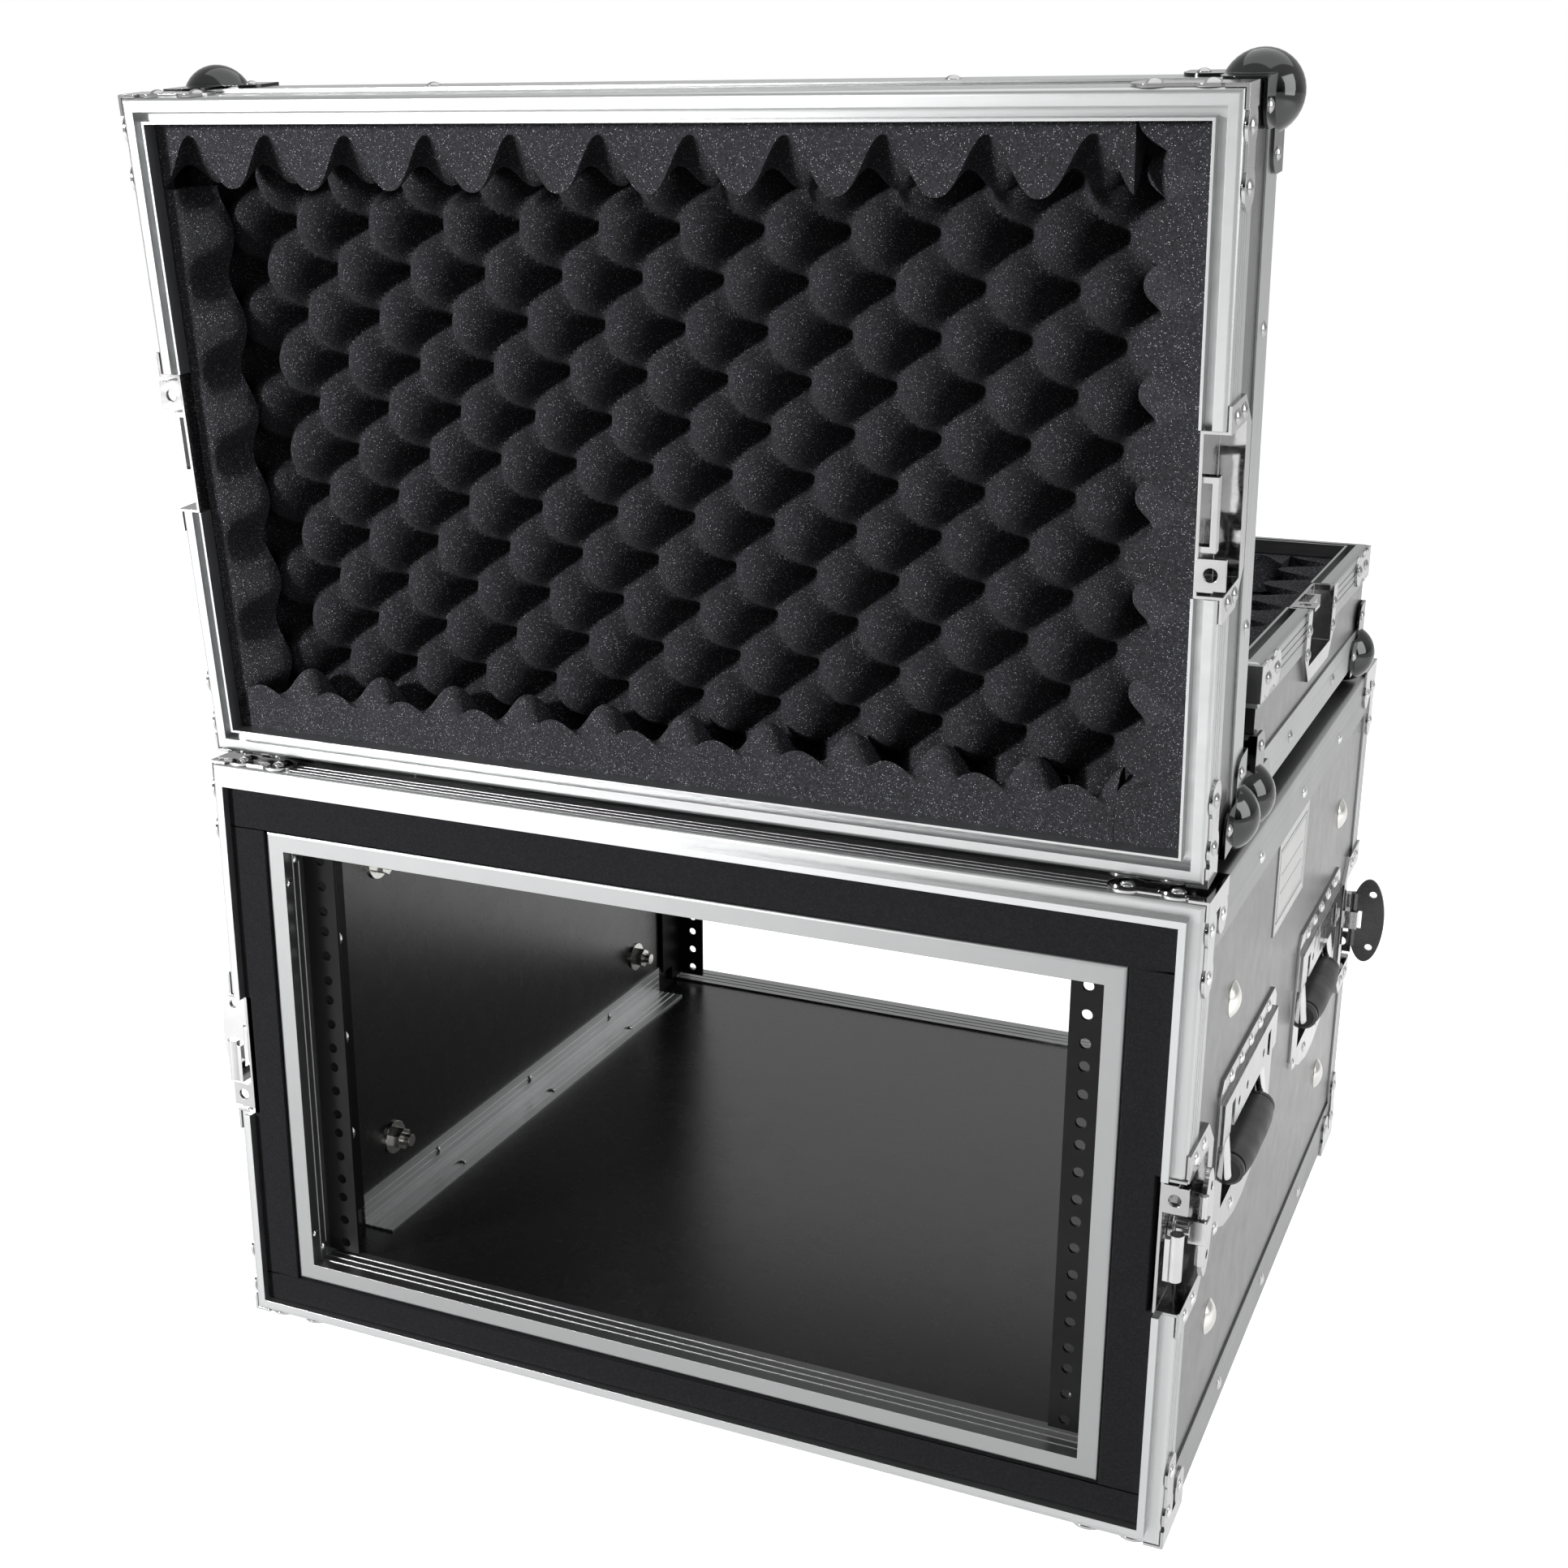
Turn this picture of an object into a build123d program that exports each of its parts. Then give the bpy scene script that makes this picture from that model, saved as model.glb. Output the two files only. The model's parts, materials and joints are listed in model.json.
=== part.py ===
from build123d import *
import os

# Six-unit shock-mount rack case for 19-inch equipment, with both lids off and
# stacked on the body. X is right, the open front faces -Y, +Z is up. The origin
# is the centre of the bottom board's underside. All lengths are in millimetres.

# ---- driving dimensions ----
WIDTH = 584.0            # outside of the body, across the extrusions
HEIGHT = 363.4           # outside of the extrusion frames
DEPTH = 540.0            # between the front and rear shoulder faces
BASE_GAP = 1.6           # the frames stand this far above the base plane
SKIN = 1.2               # thickness of extrusion flanges and edge angles
BOARD = 9.0              # plywood of the shell, the sleeve and the lids
FLANGE = 24.0            # width of an extrusion's outer flange
ANGLE_LEG = 32.0         # leg of the edge angles
PLATE = 1.6              # thickness of brackets and dishes
TONGUE = (7.6, 11.4)     # inset of the tongue's two faces
TONGUE_OUT = 6.0         # how far the tongue stands in front of the shoulder

SLEEVE_W = 514.0         # inner sleeve, outside
SLEEVE_H = 297.0
SLEEVE_Z = 180.0         # height of the sleeve's centre: it sags on its mounts
TRIM_WALL = 1.5
RACK_UNIT = 44.45
UNITS = 6
HOLE_STEPS = (6.35, 22.225, 38.1)   # hole heights within one rack unit
HOLE_X = 232.55          # rack hole columns, 465.1 mm apart
HOLE_R = 3.0
RAIL_SETBACK = 18.0
RAIL_T = 2.0
RAIL_W = 21.5

MOUNT_Y = 174.0          # shock mounts, from the body's middle
MOUNT_Z = 96.0
HANDLE_Y = 116.0
HANDLE_Z = 187.0
LATCH_Z = BASE_GAP + HEIGHT / 2 - 3.0
LATCH_BACK = 24.0        # spindle behind the shoulder face
NOTCH_HALF = 37.0        # half the height of a latch recess

LID_DEPTH = 80.0
LID_LEAN = 5.5           # degrees the standing lid leans forward on its ball corners
LID_LIP = 13.2
RIVET_H = 1.7            # height of a rivet head
LOBE_R = 10.0            # half width of a bracket's lobes
LOBES = (16.0, 41.0)     # a bracket's rivets, from the edge
BALL_R = 19.0
BALL_INSET = 7.5

# ---- derived places ----
TOP = BASE_GAP + HEIGHT
MID_Z = BASE_GAP + HEIGHT / 2
FRONT = -DEPTH / 2
SIDE = WIDTH / 2 - SKIN                 # outside of the side boards
RAIL_H = UNITS * RACK_UNIT
SLEEVE_WALL = 2 * TRIM_WALL + BOARD     # trim seen from the front
INNER_X = SLEEVE_W / 2 - TRIM_WALL - BOARD
INNER_Z = SLEEVE_H / 2 - TRIM_WALL - BOARD


# ---- shared shapes ----
def block(x0, x1, y0, y1, z0, z1):
    """Box between two limits on each axis."""
    centre = Pos((x0 + x1) / 2, (y0 + y1) / 2, (z0 + z1) / 2)
    return centre * Box(abs(x1 - x0), abs(y1 - y0), abs(z1 - z0))


def rod(start, end, radius, end_radius=None):
    """Round bar, or a taper, between two points."""
    a = Vector(*start)
    b = Vector(*end)
    plane = Plane(origin=a, z_dir=b - a)
    bottom = (Align.CENTER, Align.CENTER, Align.MIN)
    if end_radius is None:
        return plane * Cylinder(radius, (b - a).length, align=bottom)
    return plane * Cone(radius, end_radius, (b - a).length, align=bottom)


def dome(place, normal, radius=4.0, height=RIVET_H):
    """Low rivet or bolt head that sits on a surface."""
    plane = Plane(origin=place, z_dir=normal)
    sphere_r = (radius ** 2 + height ** 2) / (2 * height)
    ball = Pos(0, 0, height - sphere_r) * Sphere(sphere_r)
    cap = ball & Pos(0, 0, height) * Box(4 * radius, 4 * radius, 2 * height)
    return plane * cap


def side_plate(points, y, z, x0, x1):
    """Flat plate on the right side from an outline of (y, z) points."""
    face = make_face(Plane.YZ * Polyline(*points, close=True))
    return Pos(x0, y, z) * extrude(face, x1 - x0, dir=(1, 0, 0))


def mirror_x(shape):
    return mirror(shape, Plane.YZ)


def mirror_y(shape):
    return mirror(shape, Plane.XZ)


def four_ways(shape):
    """A shape at the right front, and its images at the other three places."""
    left = mirror_x(shape)
    return [shape, left, mirror_y(shape), mirror_y(left)]


def write(name, shapes):
    """One file per sub-part; separate solids stay separate."""
    solids = []
    for shape in shapes if isinstance(shapes, list) else [shapes]:
        solids += list(shape.solids())
    body = solids[0] if len(solids) == 1 else Compound(children=solids)
    export_step(body, f"parts/{name}.step")


# ---- extrusion frames ----
def ribbed(depth_to, spacing=4.6, first=6.0, count=3):
    """Outline points of an outer face with shallow lengthwise grooves."""
    points = [(0.0, 0.0)]
    for index in range(count):
        w = first + index * spacing
        points += [(w, 0.0), (w, 0.4), (w + 1.1, 0.4), (w + 1.1, 0.0)]
    return points + [(depth_to, 0.0)]


def tongue_outline():
    """Body extrusion: points are (depth, inset), with the tongue in front."""
    slot = SKIN + BOARD
    inner, outer = TONGUE[1], TONGUE[0]
    return ribbed(FLANGE) + [
        (FLANGE, SKIN), (1.8, SKIN), (1.8, slot), (18.0, slot), (18.0, inner),
        (-TONGUE_OUT, inner), (-TONGUE_OUT, outer), (0.0, outer),
    ]


def groove_outline():
    """Lid extrusion: the groove takes the body's tongue."""
    slot = SKIN + BOARD
    web, floor = 8.6, 7.0
    return ribbed(FLANGE) + [
        (FLANGE, SKIN), (web, SKIN), (web, slot), (20.0, slot), (20.0, slot + SKIN),
        (web, slot + SKIN), (web, LID_LIP), (0.0, LID_LIP), (0.0, LID_LIP - 1.4),
        (floor, LID_LIP - 1.4), (floor, TONGUE[0] - 0.5), (0.0, TONGUE[0] - 0.5),
    ]


def trim_outline():
    """Channel over the front edge of the sleeve's boards, ribbed inside."""
    inside = SLEEVE_WALL
    wall = TRIM_WALL
    leg = 25.0
    points = [(0.0, 0.0), (leg, 0.0), (leg, wall), (wall, wall), (wall, inside - wall),
              (leg, inside - wall), (leg, inside)]
    for w in (18.5, 13.0, 7.5):
        points += [(w + 1.2, inside), (w + 1.2, inside - 0.4), (w, inside - 0.4), (w, inside)]
    return points + [(0.0, inside)]


def mitred_bar(length, outline, corner_r):
    """Bar along X with its outer face down, its corner rounded and its ends mitred."""
    section = make_face(Plane.YZ * Polyline(*outline, close=True))
    corner = section.vertices().sort_by_distance((0, 0, 0))[0]
    bar = extrude(fillet(corner, corner_r), amount=length / 2, both=True)
    cut = 30.0
    half = length / 2
    wedge = Polyline((-half, 0), (half, 0), (half - cut, cut), (cut - half, cut), close=True)
    return bar & extrude(make_face(Plane.XZ * wedge), amount=100.0, both=True)


def frame_bars(width, height, outline, corner_r=2.6):
    """Four mitred bars round a rectangle in the XZ plane, opening at y = 0."""
    across = mitred_bar(width, outline, corner_r)
    upright = mitred_bar(height, outline, corner_r)
    return [
        Pos(0, 0, -height / 2) * across,
        Pos(0, 0, height / 2) * Rot(0, 180, 0) * across,
        Pos(width / 2, 0, 0) * Rot(0, -90, 0) * upright,
        Pos(-width / 2, 0, 0) * Rot(0, 90, 0) * upright,
    ]


def wall_boards(width, height, y0, y1):
    """Top and bottom boards between two side boards, all inside the flanges."""
    w = width / 2 - SKIN
    h = height / 2 - SKIN
    side = block(w - BOARD, w, y0, y1, -h, h)
    top = block(BOARD - w, w - BOARD, y0, y1, h - BOARD, h)
    return [side, mirror_x(side), top, mirror(top, Plane.XY)]


# ---- outer shell ----
def latch_notches():
    """Openings for the four latch dishes, through extrusions and side boards."""
    low, high = LATCH_Z - NOTCH_HALF - PLATE, LATCH_Z + NOTCH_HALF + PLATE
    notch = block(SIDE - 14, WIDTH, FRONT - 10, FRONT + 47.6, low, high)
    return four_ways(notch)


def handle_cutouts():
    half = MOUTH_HALF + 5.4
    low, high = MOUTH_LOW - PLATE - 0.4, MOUTH_HIGH + PLATE + 0.4
    cut = block(SIDE - 18, WIDTH, -HANDLE_Y - half, -HANDLE_Y + half, HANDLE_Z + low, HANDLE_Z + high)
    return four_ways(cut)


def mount_places():
    """Shock mount axes on the right side: (y, z)."""
    return [(y, SLEEVE_Z + 4 + z) for y in (-MOUNT_Y, MOUNT_Y) for z in (-MOUNT_Z, MOUNT_Z)]


def make_shell():
    y0, y1 = FRONT + 2.0, -FRONT - 2.0
    right, left, top, bottom = [Pos(0, 0, MID_Z) * b for b in wall_boards(WIDTH, HEIGHT, y0, y1)]
    for cut in latch_notches() + handle_cutouts():
        right -= cut
        left -= cut
    for y, z in mount_places():
        hole = rod((-WIDTH, y, z), (WIDTH, y, z), 4.2)
        right -= hole
        left -= hole
    pad = block(-SIDE + ANGLE_LEG + 2, SIDE - ANGLE_LEG - 2, FRONT + 46, -FRONT - 46, 0, 4)
    write("right_panel", right)
    write("left_panel", left)
    write("top_panel", top)
    write("bottom_panel", bottom + pad)


def make_extrusions():
    front = frame_bars(WIDTH, HEIGHT, tongue_outline())
    cuts = latch_notches()
    places = {"front": Pos(0, FRONT, MID_Z), "rear": Pos(0, -FRONT, MID_Z) * Rot(0, 0, 180)}
    for name, place in places.items():
        bars = [place * bar for bar in front]
        for cut in cuts:
            bars = [bar - cut for bar in bars]
        write(f"{name}_extrusion", bars)


def make_edge_angles():
    reach = -FRONT - FLANGE - 0.1
    x, z = WIDTH / 2, HEIGHT / 2
    legs = [(x, z - ANGLE_LEG), (x, z), (x - ANGLE_LEG, z), (x - ANGLE_LEG, z - SKIN),
            (x - SKIN, z - SKIN), (x - SKIN, z - ANGLE_LEG)]
    section = make_face(Plane.XZ * Polyline(*legs, close=True))
    outer = section.vertices().sort_by_distance((x, 0, z))[0]
    angle = extrude(fillet(outer, 3.0), amount=reach, both=True)
    right = [angle, mirror(angle, Plane.XY)]
    both = right + [mirror_x(a) for a in right]
    write("edge_angles", [Pos(0, 0, MID_Z) * a for a in both])


def lobed_bracket(front, z, lobes):
    """Bracket over the right top edge, lobed round rivets at (from the edge, depth)."""
    x, t, neck, rim = WIDTH / 2, PLATE, 7.5, 9.0
    y0 = front + min(v for u, v in lobes) - LOBE_R
    y1 = front + max(v for u, v in lobes) + LOBE_R
    shape = block(x, x + t, y0, y1, z - rim, z + t) + block(x - rim, x + t, y0, y1, z, z + t)
    for u, v in lobes:
        y = front + v
        shape += rod((x, y, z - u), (x + t, y, z - u), LOBE_R)
        shape += rod((x - u, y, z), (x - u, y, z + t), LOBE_R)
        shape += block(x, x + t, y - neck, y + neck, z - u, z)
        shape += block(x - u, x, y - neck, y + neck, z, z + t)
    return shape


def make_corner_brackets():
    near, far = LOBES
    upper = lobed_bracket(FRONT, TOP, [(near, 11), (far, 11), (near, 36)])
    lower = Pos(0, 0, 2 * MID_Z) * mirror(upper, Plane.XY)
    write("corner_brackets", four_ways(upper) + four_ways(lower))


def side_rivets():
    """Rivet heads of the right front quarter: place and outward normal."""
    x = WIDTH / 2
    places = []
    for z in (TOP - 20, BASE_GAP + 16):
        places.append(((x, -128, z), (1, 0, 0)))
    near, far = LOBES
    for edge, step in ((TOP, 1), (BASE_GAP, -1)):
        places += [((x + PLATE, FRONT + 11, edge - far * step), (1, 0, 0)),
                   ((x + PLATE, FRONT + 11, edge - near * step), (1, 0, 0)),
                   ((x + PLATE, FRONT + 36, edge - near * step), (1, 0, 0))]
    places += [((x - near, FRONT + 11, TOP + PLATE), (0, 0, 1)),
               ((x - far, FRONT + 11, TOP + PLATE), (0, 0, 1)),
               ((x - near, FRONT + 36, TOP + PLATE), (0, 0, 1))]
    for y in (14, 32):
        for z in (-45, 45):
            places.append(((x + PLATE, FRONT + y, LATCH_Z + z), (1, 0, 0)))
    face = SIDE + PLATE
    for y in (-52, -26, 0, 26, 52):
        places.append(((face, y - HANDLE_Y, HANDLE_Z + 46), (1, 0, 0)))
    for y in (-68, -24, 24, 68):
        places.append(((face, y - HANDLE_Y, HANDLE_Z - 48 + abs(y) / 7), (1, 0, 0)))
    return places


def make_rivets():
    heads = [dome(place, normal) for place, normal in side_rivets()]
    every = [image for head in heads for image in four_ways(head)]
    for z in (TOP - 20, BASE_GAP + 16):
        head = dome((WIDTH / 2, 0, z), (1, 0, 0))
        every += [head, mirror_x(head)]
    write("shell_rivets", every)


def make_label():
    """Blank label plate on the right side, held in a thin raised rim."""
    plate = block(SIDE, SIDE + 0.6, -64, 31, 275, 332)
    write("label_plate", plate - block(SIDE + 0.35, SIDE + 1, -61.5, 28.5, 277.5, 329.5))


# ---- shock-mounted sleeve ----
def make_gap_foam():
    """Foam strips that close the gap between shell and sleeve at both ends."""
    x1, z1 = WIDTH / 2 - TONGUE[1] - 0.2, HEIGHT / 2 - TONGUE[1] - 0.2
    x0, z0 = SLEEVE_W / 2 + 0.2, SLEEVE_H / 2 + 0.2
    y0, y1 = FRONT - 1.0, FRONT + 26.0
    drop = SLEEVE_Z - MID_Z
    strips = [
        block(-x1, x1, y0, y1, MID_Z + drop + z0, MID_Z + z1),
        block(-x1, x1, y0, y1, MID_Z - z1, MID_Z + drop - z0),
        block(x0, x1, y0, y1, MID_Z + drop - z0, MID_Z + drop + z0),
        block(-x1, -x0, y0, y1, MID_Z + drop - z0, MID_Z + drop + z0),
    ]
    for cut in latch_notches():
        strips = [strip - cut for strip in strips]
    write("gap_foam_strips", strips + [mirror_y(strip) for strip in strips])


def make_sleeve():
    reach = -FRONT - TRIM_WALL
    x, z = SLEEVE_W / 2 - TRIM_WALL, SLEEVE_H / 2 - TRIM_WALL
    side = block(INNER_X, x, -reach, reach, -z, z)
    for y, height in mount_places():
        side -= rod((INNER_X - 5, y, height - SLEEVE_Z), (WIDTH, y, height - SLEEVE_Z), 4.2)
    top = block(-INNER_X, INNER_X, -reach, reach, INNER_Z, z)
    boards = [side, mirror_x(side), top, mirror(top, Plane.XY)]
    write("sleeve_boards", [Pos(0, 0, SLEEVE_Z) * b for b in boards])
    bars = [Pos(0, FRONT, SLEEVE_Z) * b for b in frame_bars(SLEEVE_W, SLEEVE_H, trim_outline())]
    write("sleeve_trims", bars + [Rot(0, 0, 180) * b for b in bars])


def corner_strip():
    """Ribbed angle in the right lower corner of the sleeve, along Y."""
    leg, wall = 22.0, 1.4
    reach = -FRONT - 57.0
    grooves = (5.0, 10.0, 15.0)
    strip = block(INNER_X - leg, INNER_X, -reach, reach, -INNER_Z, wall - INNER_Z)
    strip += block(INNER_X - wall, INNER_X, -reach, reach, -INNER_Z, leg - INNER_Z)
    for g in grooves:
        strip -= block(INNER_X - g - 1.4, INNER_X - g, -reach, reach, wall - 0.4 - INNER_Z, 9 - INNER_Z)
        strip -= block(INNER_X - 9, INNER_X - wall + 0.4, -reach, reach, g - INNER_Z, g + 1.4 - INNER_Z)
    return strip


def make_corner_strips():
    right = [corner_strip(), mirror(corner_strip(), Plane.XY)]
    strips = right + [mirror_x(s) for s in right]
    write("sleeve_corner_strips", [Pos(0, 0, SLEEVE_Z) * s for s in strips])


def make_sleeve_screws():
    """Screw heads of the corner strips, the trims and the rack rails."""
    heads = []
    wall = INNER_X - 1.4
    for y in (-125.0, 0.0, 125.0):
        heads.append(dome((wall, y, 12.7 - INNER_Z), (-1, 0, 0), 3.2, 1.5))
        heads.append(dome((INNER_X - 12.7, y + 11, 1.4 - INNER_Z), (0, 0, 1), 3.2, 1.5))
    heads.append(dome((INNER_X - TRIM_WALL, FRONT + 11.6, 9 - INNER_Z), (-1, 0, 0), 3.0, 1.4))
    heads.append(dome((INNER_X - TRIM_WALL, FRONT + 3.9, 22 - INNER_Z), (-1, 0, 0), 2.4, 1.2))
    lower = heads + [mirror_y(h) for h in heads[-2:]]
    upper = [mirror(h, Plane.XY) for h in lower]
    rail = INNER_X - TRIM_WALL - RAIL_T
    for z in (-66.0, 0.0, 66.0):
        screw = dome((rail, FRONT + 44.5, z), (-1, 0, 0), 4.6, 2.2)
        upper += [screw, mirror_y(screw)]
    right = lower + upper
    every = right + [mirror_x(h) for h in right]
    write("sleeve_screws", [Pos(0, 0, SLEEVE_Z) * h for h in every])


def rack_rail():
    """Right front rail: holed flange facing forward, leg screwed to the wall."""
    x = INNER_X - TRIM_WALL
    y = FRONT + RAIL_SETBACK
    half = RAIL_H / 2
    flange = block(x - RAIL_W, x, y, y + RAIL_T, -half, half)
    leg = block(x - RAIL_T, x, y, y + 36.0, -half, half)
    leg -= block(x - 5, x + 1, y + 20, y + 40, -half, 12 - half)
    leg -= block(x - 5, x + 1, y + 20, y + 40, half - 12, half)
    rail = flange + leg
    for unit in range(UNITS):
        for step in HOLE_STEPS:
            z = unit * RACK_UNIT + step - half
            rail -= rod((HOLE_X, y - 5, z), (HOLE_X, y + 8, z), HOLE_R)
    return Pos(0, 0, SLEEVE_Z) * rail


def make_rails():
    front = [rack_rail(), mirror_x(rack_rail())]
    write("front_rack_rails", front)
    write("rear_rack_rails", [mirror_y(rail) for rail in front])


def make_shock_mounts():
    """Rubber bobbins between shell and sleeve, each on one long dome-head bolt."""
    outer, inner = SIDE - BOARD, SLEEVE_W / 2 - TRIM_WALL
    rubbers, bolts, nuts = [], [], []
    for y, z in mount_places():
        hole = rod((inner - 1, y, z), (outer + 1, y, z), 4.05)
        bobbin = rod((inner, y, z), (inner + 3, y, z), 17.0)
        bobbin += rod((inner + 3, y, z), (outer - 3, y, z), 12.5)
        bobbin += rod((outer - 3, y, z), (outer, y, z), 17.0)
        rubbers.append(bobbin - hole)
        tip = INNER_X - 14
        bolts.append(rod((tip, y, z), (SIDE, y, z), 4.0) + dome((SIDE, y, z), (1, 0, 0), 10.5, 4.5))
        washer = rod((INNER_X - 1.6, y, z), (INNER_X, y, z), 11.0)
        hexagon = Plane(origin=(INNER_X - 8.4, y, z), z_dir=(1, 0, 0)) * extrude(RegularPolygon(7.5, 6), 6.8)
        nuts.append(washer + hexagon - rod((tip - 2, y, z), (SIDE, y, z), 4.05))
    write("shock_mount_rubbers", rubbers + [mirror_x(s) for s in rubbers])
    write("shock_mount_bolts", bolts + [mirror_x(s) for s in bolts])
    write("shock_mount_nuts", nuts + [mirror_x(s) for s in nuts])


# ---- spring handles ----
MOUTH_HALF = 56.0           # dish opening: half its length, and its limits above the centre
MOUTH_LOW, MOUTH_HIGH = -32.0, 34.0
DISH_DEEP = 11.5
BAIL_PIN = (-2.8, 25.0)     # bail pivot: out from the side board, above the plate's centre
BAIL_HALF = 50.0            # half the distance between the bail's arms
ARM_R = 3.4
GRIP_AT = (2.2, -14.0)      # grip's axis: out, and above the plate's centre
GRIP_R = 10.7


def handle_hood():
    """Raised cover over the bail's springs, with a slot for each arm to swing through."""
    out, low, high, half = SIDE + 2.2, HANDLE_Z + 14.0, HANDLE_Z + 38.0, 74.0
    y0, y1 = -HANDLE_Y - half, -HANDLE_Y + half
    hood = block(out, out + PLATE, y0, y1, low, high)
    hood += block(SIDE, out + PLATE, y0, y1, high - PLATE, high)
    for side in (-1, 1):
        end = -HANDLE_Y + side * half
        hood += block(SIDE, out + PLATE, end - side * 14, end, low, high)
        y = -HANDLE_Y + side * BAIL_HALF
        hood -= block(SIDE + 1, SIDE + 9, y - 4.6, y + 4.6, low - 1, HANDLE_Z + BAIL_PIN[1] + 6)
    for y in (-34, -12, 34):
        hole = rod((SIDE + 1, y - HANDLE_Y, HANDLE_Z + 24), (SIDE + 9, y - HANDLE_Y, HANDLE_Z + 24), 2.6)
        hood -= hole
    return hood


def handle_dish():
    """Flanged dish let into the side board, under a hood that covers the bail's pins."""
    top, corner, clip = 51.0, 77.0, 7.0
    upper = [(-corner, top - clip), (clip - corner, top), (corner - clip, top), (corner, top - clip)]
    lower = [(corner, -34), (42, -50), (12, -56), (-12, -56), (-42, -50), (-corner, -34)]
    plate = side_plate(upper + lower, -HANDLE_Y, HANDLE_Z, SIDE, SIDE + PLATE)
    y0, y1 = -HANDLE_Y - MOUTH_HALF, -HANDLE_Y + MOUTH_HALF
    z0, z1 = HANDLE_Z + MOUTH_LOW, HANDLE_Z + MOUTH_HIGH
    back = SIDE - DISH_DEEP
    tray = block(back - PLATE, SIDE + 0.2, y0 - PLATE, y1 + PLATE, z0 - PLATE, z1 + PLATE)
    dish = plate + tray - block(back, SIDE + 5, y0, y1, z0, z1) + handle_hood()
    x, z = SIDE + BAIL_PIN[0], HANDLE_Z + BAIL_PIN[1]
    return dish - rod((x, -HANDLE_Y - 70, z), (x, -HANDLE_Y + 70, z), 3.05)


def handle_bail():
    """Bent steel bail: two trunnions, two arms and the core of the grip."""
    pin = (SIDE + BAIL_PIN[0], HANDLE_Z + BAIL_PIN[1])
    grip = (SIDE + GRIP_AT[0], HANDLE_Z + GRIP_AT[1])
    bail = rod((grip[0], -HANDLE_Y - BAIL_HALF, grip[1]), (grip[0], -HANDLE_Y + BAIL_HALF, grip[1]), ARM_R)
    for side in (-1, 1):
        y = -HANDLE_Y + side * BAIL_HALF
        bail += rod((pin[0], y, pin[1]), (grip[0], y, grip[1]), ARM_R)
        bail += Pos(grip[0], y, grip[1]) * Sphere(ARM_R)
        bail += Pos(pin[0], y, pin[1]) * Sphere(ARM_R)
        bail += rod((pin[0], y, pin[1]), (pin[0], y + side * 10.0, pin[1]), 3.0)
    return bail


def handle_grip():
    """Moulded grip, a little thicker in the middle, with a grooved collar at each end."""
    x, z = SIDE + GRIP_AT[0], HANDLE_Z + GRIP_AT[1]
    half = BAIL_HALF - ARM_R - 0.4
    collar, groove, rim = half - 5.0, half - 6.6, 8.9
    body = Spline((groove, 9.2), (half * 0.6, 10.4), (0.0, GRIP_R), (-half * 0.6, 10.4), (-groove, 9.2))
    ends = Polyline(
        (-groove, 9.2), (-groove, 8.2), (-collar, 8.2), (-collar, rim), (1.6 - half, rim), (-half, 7.2),
        (-half, ARM_R), (half, ARM_R), (half, 7.2), (half - 1.6, rim), (collar, rim), (collar, 8.2),
        (groove, 8.2), (groove, 9.2))
    turned = revolve(make_face(body + ends), Axis.X, 360)
    return Pos(x, -HANDLE_Y, z) * Rot(0, 0, 90) * turned


PLACES = {
    "right_front": lambda shape: shape,
    "left_front": mirror_x,
    "right_rear": mirror_y,
    "left_rear": lambda shape: mirror_y(mirror_x(shape)),
}


def make_handles():
    write("handle_dishes", four_ways(handle_dish()))
    for name, image in PLACES.items():
        write(f"handle_bail_{name}", image(handle_bail()))
        write(f"handle_grip_{name}", image(handle_grip()))


# ---- butterfly twist latches ----
SPINDLE_Y = FRONT + LATCH_BACK
STANDING = ("left_front", "right_rear")      # wings that are left standing out
WING_X = SIDE + 6.2                         # hinge line of the wings
TAB_UP = {"right_front": 1, "left_front": -1, "right_rear": -1, "left_rear": 1}


def latch_flange(half_height, reach, y, z):
    """Clipped flange over the extrusion, stepped down to the board behind it."""
    a, b, c = half_height, reach, 16.0
    outline = [(0.4, a), (b - c, a), (b, a - c), (b, c - a), (b - c, -a), (0.4, -a)]
    flange = side_plate(outline, y, z, WIDTH / 2, WIDTH / 2 + PLATE)
    step = [(max(w, FLANGE + 0.2), h) for w, h in outline]
    return flange + side_plate(step, y, z, SIDE, WIDTH / 2)


def padlock_tab(y, z, shelf_side):
    """Upright tab in a tray's mouth with a shelf to stiffen it, and its eye."""
    low, half, shelf_z = SIDE - 10.0, 7.5, z + shelf_side * 7.5
    tab = block(low, SIDE + 3.5, y - 1, y + 1, z - half, z + half)
    tab += block(low, SIDE - 2, y - 1, y + 6, shelf_z - 0.8, shelf_z + 0.8)
    return tab, rod((SIDE - 3.5, y - 5, z), (SIDE - 3.5, y + 5, z), 3.4)


def latch_dish(tab_up):
    """Recessed tray with a side flange and a padlock tab in its open mouth."""
    n, back = NOTCH_HALF, 46.0
    dish = latch_flange(52.0, 58.0, FRONT, LATCH_Z)
    deep = 11.0
    tray = (FRONT - 1, FRONT + back + PLATE, LATCH_Z - n - PLATE, LATCH_Z + n + PLATE)
    dish += block(SIDE - deep, SIDE + 2, *tray)
    dish -= block(SIDE - deep + PLATE, SIDE + 5, FRONT - 3, FRONT + back, LATCH_Z - n, LATCH_Z + n)
    z = LATCH_Z + tab_up * 27.0
    tab, eye = padlock_tab(FRONT, z, tab_up)
    return dish + tab - eye


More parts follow.
